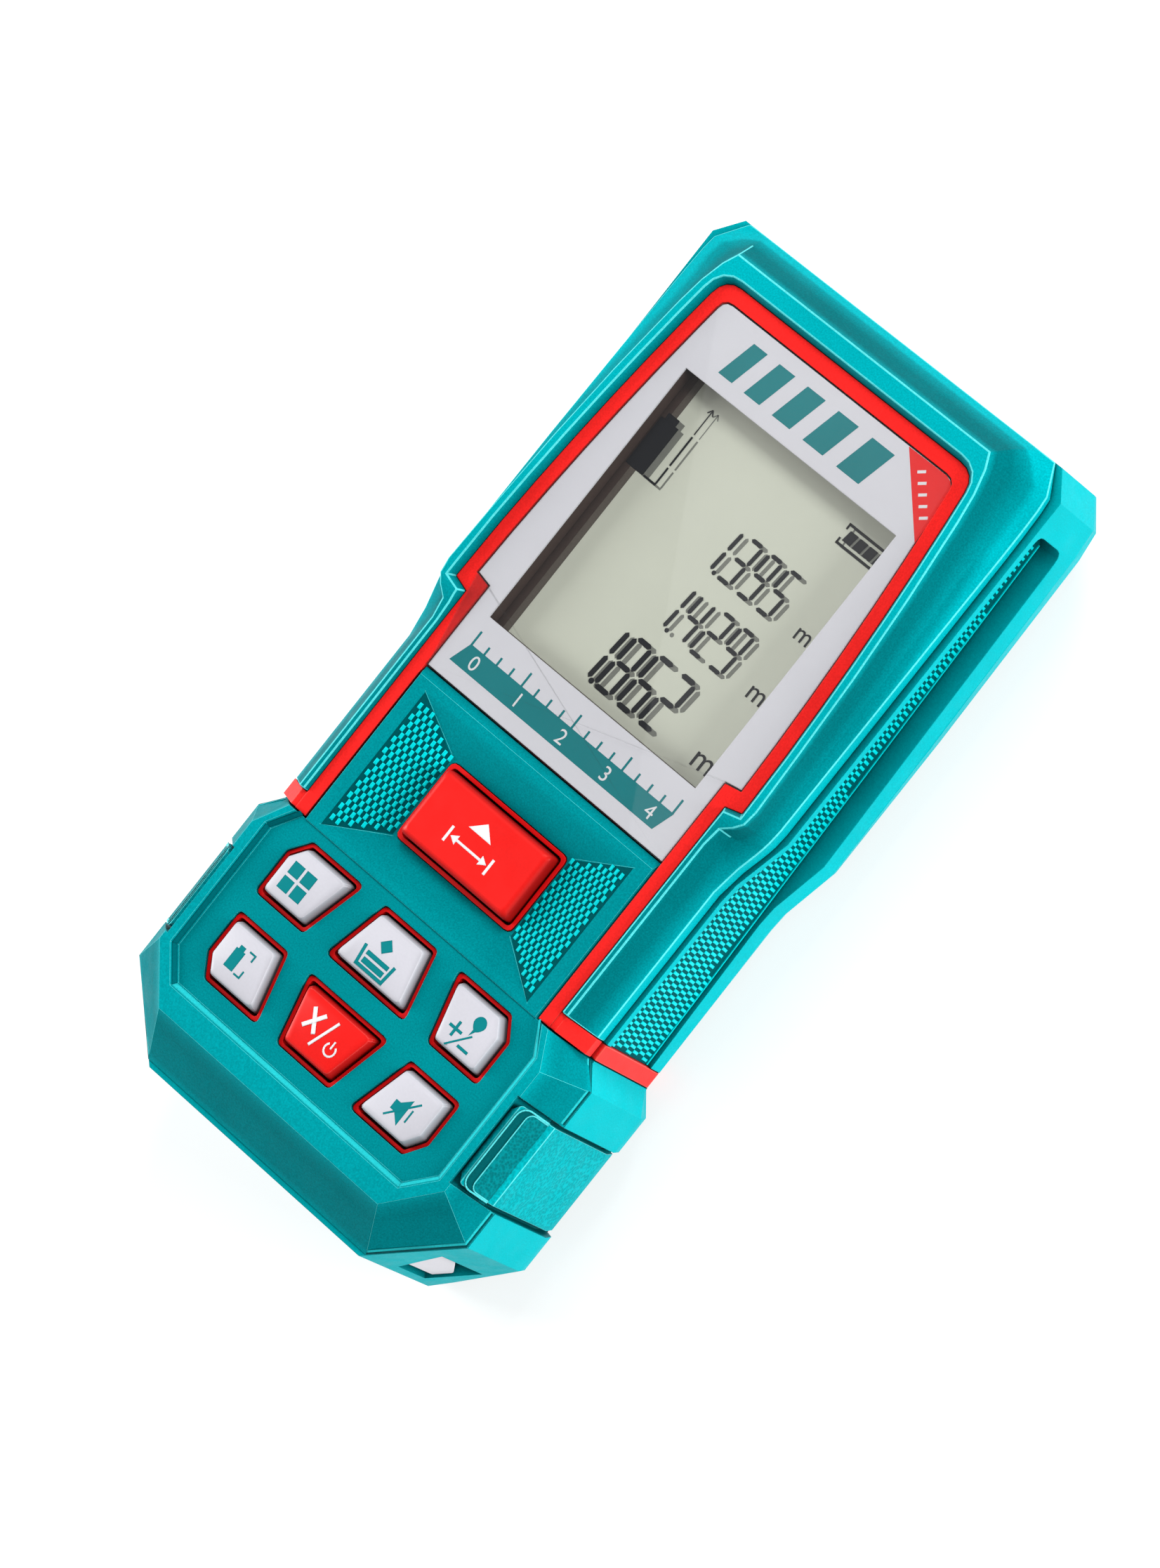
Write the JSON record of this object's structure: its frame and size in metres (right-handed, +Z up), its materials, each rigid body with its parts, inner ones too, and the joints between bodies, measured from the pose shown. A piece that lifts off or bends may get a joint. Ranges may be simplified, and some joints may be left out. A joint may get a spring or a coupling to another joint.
{
  "type": "laser distance meter",
  "caption": "Hand-held laser distance meter: stepped teal housing with red frame, large display, red measuring key, keypad block with function keys and a hinged battery door in the back.",
  "frame": {"origin": "centre of the footprint on the surface it lies on, back down", "axes": "+Z up out of the keypad face, +Y along the body towards the laser end, +X to the right of the keypad"},
  "size_m": [0.054, 0.1146, 0.028],
  "materials": {
    "teal_shell": "fine spark-eroded texture",
    "teal_grip": "grained",
    "red_frame": "satin",
    "red_silicone": "matt",
    "red_key": "satin",
    "grey_key": "satin",
    "grey_plastic": "satin",
    "display_lens": "clear",
    "silver_print": "satin silver print",
    "brown_plastic": "matt",
    "lcd_glass": "satin",
    "reflector": "satin",
    "zebra_rubber": "matt",
    "circuit_board": "solder resist",
    "spring_steel": "bright",
    "nickel": "bright",
    "brass": "turned",
    "black_plastic": "matt",
    "optical_glass": "polished",
    "front_glass": "dark tinted",
    "cell_sleeve": "printed sleeve"
  },
  "bodies": {
    "housing": {"keypad_housing": "teal_shell", "head_frame": "teal_shell", "red_frame": "red_frame", "waist_band": "red_frame", "rear_housing": "teal_shell", "grip_pad_left": "teal_grip", "grip_pad_right": "teal_grip", "display_lens": "display_lens", "display_mask": "silver_print", "lcd_holder": "brown_plastic", "lcd_cell": "lcd_glass", "lcd_reflector": "reflector", "zebra_strip": "zebra_rubber", "key_mat": "red_silicone", "main_board": "circuit_board", "key_domes": "spring_steel", "board_parts": "black_plastic", "buzzer": "black_plastic", "optics_block": "black_plastic", "laser_module": "brass", "laser_lens": "optical_glass", "receiver_lens": "optical_glass", "sensor_board": "circuit_board", "sensor_can": "nickel", "front_window": "front_glass", "battery_contacts": "nickel", "battery_cell_left": "cell_sleeve", "battery_cell_right": "cell_sleeve", "housing_screws": "spring_steel", "strap_post": "grey_plastic"},
    "measure_key": {"measure_key": "red_key"},
    "area_key": {"area_key": "grey_key"},
    "level_key": {"level_key": "grey_key"},
    "sum_key": {"sum_key": "grey_key"},
    "reference_key": {"reference_key": "grey_key"},
    "clear_key": {"clear_key": "red_key"},
    "sound_key": {"sound_key": "grey_key"},
    "battery_door": {"battery_door": "teal_shell"}
  },
  "joints": [
    {"name": "measure_key_press", "type": "slide", "parent": "housing", "child": "measure_key", "axis": [0, 0, -1], "range_m": [0, 0.0006], "stiffness_N_per_m": 700},
    {"name": "area_key_press", "type": "slide", "parent": "housing", "child": "area_key", "axis": [0, 0, -1], "range_m": [0, 0.0006], "stiffness_N_per_m": 700},
    {"name": "level_key_press", "type": "slide", "parent": "housing", "child": "level_key", "axis": [0, 0, -1], "range_m": [0, 0.0006], "stiffness_N_per_m": 700},
    {"name": "sum_key_press", "type": "slide", "parent": "housing", "child": "sum_key", "axis": [0, 0, -1], "range_m": [0, 0.0006], "stiffness_N_per_m": 700},
    {"name": "reference_key_press", "type": "slide", "parent": "housing", "child": "reference_key", "axis": [0, 0, -1], "range_m": [0, 0.0006], "stiffness_N_per_m": 700},
    {"name": "clear_key_press", "type": "slide", "parent": "housing", "child": "clear_key", "axis": [0, 0, -1], "range_m": [0, 0.0006], "stiffness_N_per_m": 700},
    {"name": "sound_key_press", "type": "slide", "parent": "housing", "child": "sound_key", "axis": [0, 0, -1], "range_m": [0, 0.0006], "stiffness_N_per_m": 700},
    {"name": "battery_door_hinge", "type": "hinge", "parent": "housing", "child": "battery_door", "pos_m": [0, -0.0067, 0.0011], "axis": [1, 0, 0], "range_deg": [0, 95]}
  ]
}
